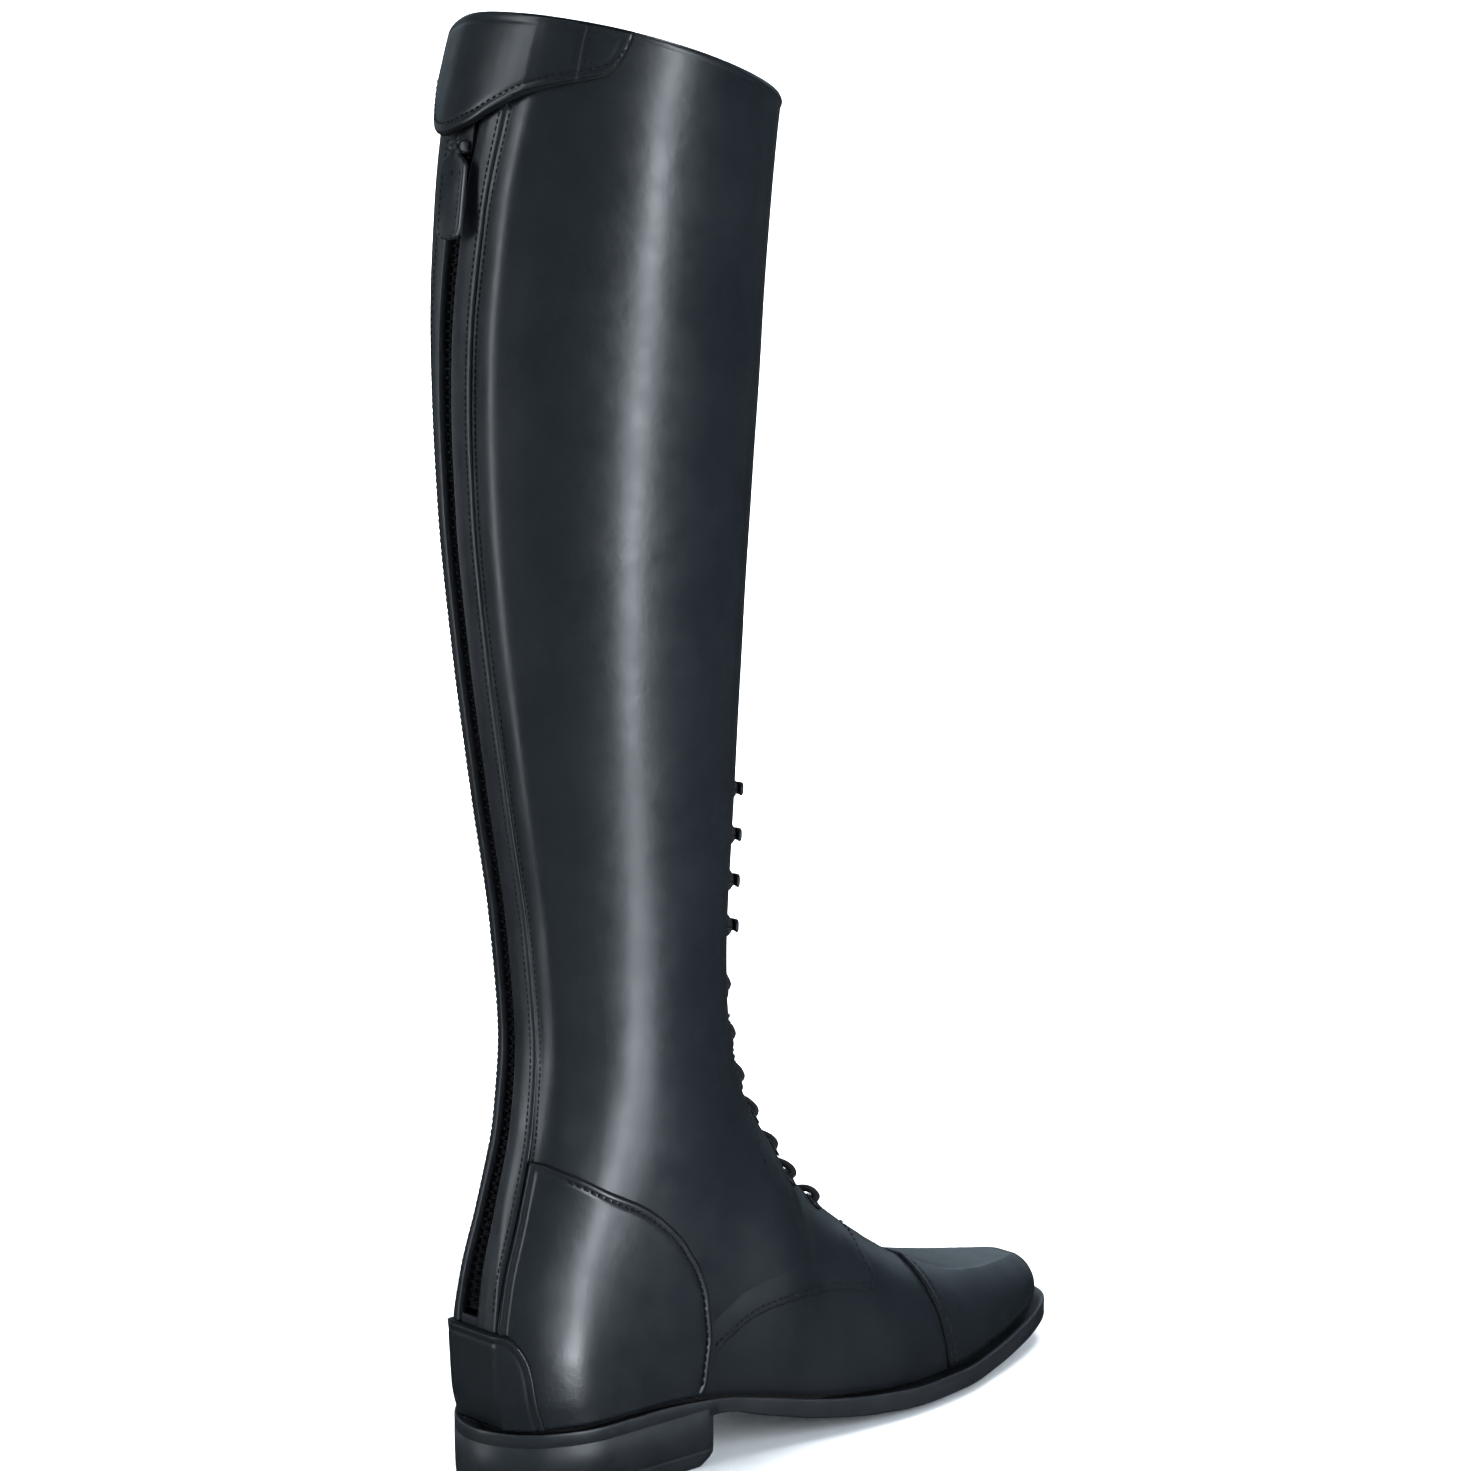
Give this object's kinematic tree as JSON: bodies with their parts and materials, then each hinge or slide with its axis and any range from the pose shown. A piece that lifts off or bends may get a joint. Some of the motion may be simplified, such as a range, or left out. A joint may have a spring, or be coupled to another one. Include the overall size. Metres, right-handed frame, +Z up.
{
  "type": "lace-up riding boot",
  "caption": "Tall black leather riding boot for the right foot, laced over the instep with hooks above, zip up the back under a collar flap, toe cap, heel counter, welted sole and low heel.",
  "frame": {"origin": "middle of the heel's flat rest, on the floor", "axes": "+X from heel to toe, +Y towards the inner side of the foot, +Z up the shaft"},
  "size_m": [0.2849, 0.1037, 0.5114],
  "materials": {
    "leather": "smooth black, polished",
    "rubber": "black, satin",
    "lining": "matt",
    "metal": "black, semi-gloss",
    "cloth": "woven black"
  },
  "bodies": {
    "boot": {"upper": "leather", "tongue": "leather", "insole": "lining", "outsole": "rubber", "welt": "rubber", "heel": "rubber", "heel_top_piece": "rubber", "toe_cap": "leather", "counter_outer": "leather", "counter_inner": "leather", "heel_cap": "leather", "back_strip_outer": "leather", "back_strip_inner": "leather", "collar_flap": "leather", "zip_tape": "cloth", "zip_chain": "metal", "zip_slider": "metal", "lace": "cloth", "eyelet_outer_1": "metal", "eyelet_outer_2": "metal", "eyelet_outer_3": "metal", "eyelet_outer_4": "metal", "eyelet_outer_5": "metal", "eyelet_outer_6": "metal", "eyelet_outer_7": "metal", "eyelet_inner_1": "metal", "eyelet_inner_2": "metal", "eyelet_inner_3": "metal", "eyelet_inner_4": "metal", "eyelet_inner_5": "metal", "eyelet_inner_6": "metal", "eyelet_inner_7": "metal", "hook_outer_1": "metal", "hook_outer_2": "metal", "hook_outer_3": "metal", "hook_outer_4": "metal", "hook_inner_1": "metal", "hook_inner_2": "metal", "hook_inner_3": "metal", "hook_inner_4": "metal"},
    "pull_tab": {"zip_pull": "leather"}
  },
  "joints": [
    {"name": "pull_tab_hinge", "type": "hinge", "parent": "boot", "child": "pull_tab", "pos_m": [-0.03431, 0.00514, 0.46772], "axis": [0.0723, 0.9962, -0.0479], "range_deg": [0, 95]}
  ]
}
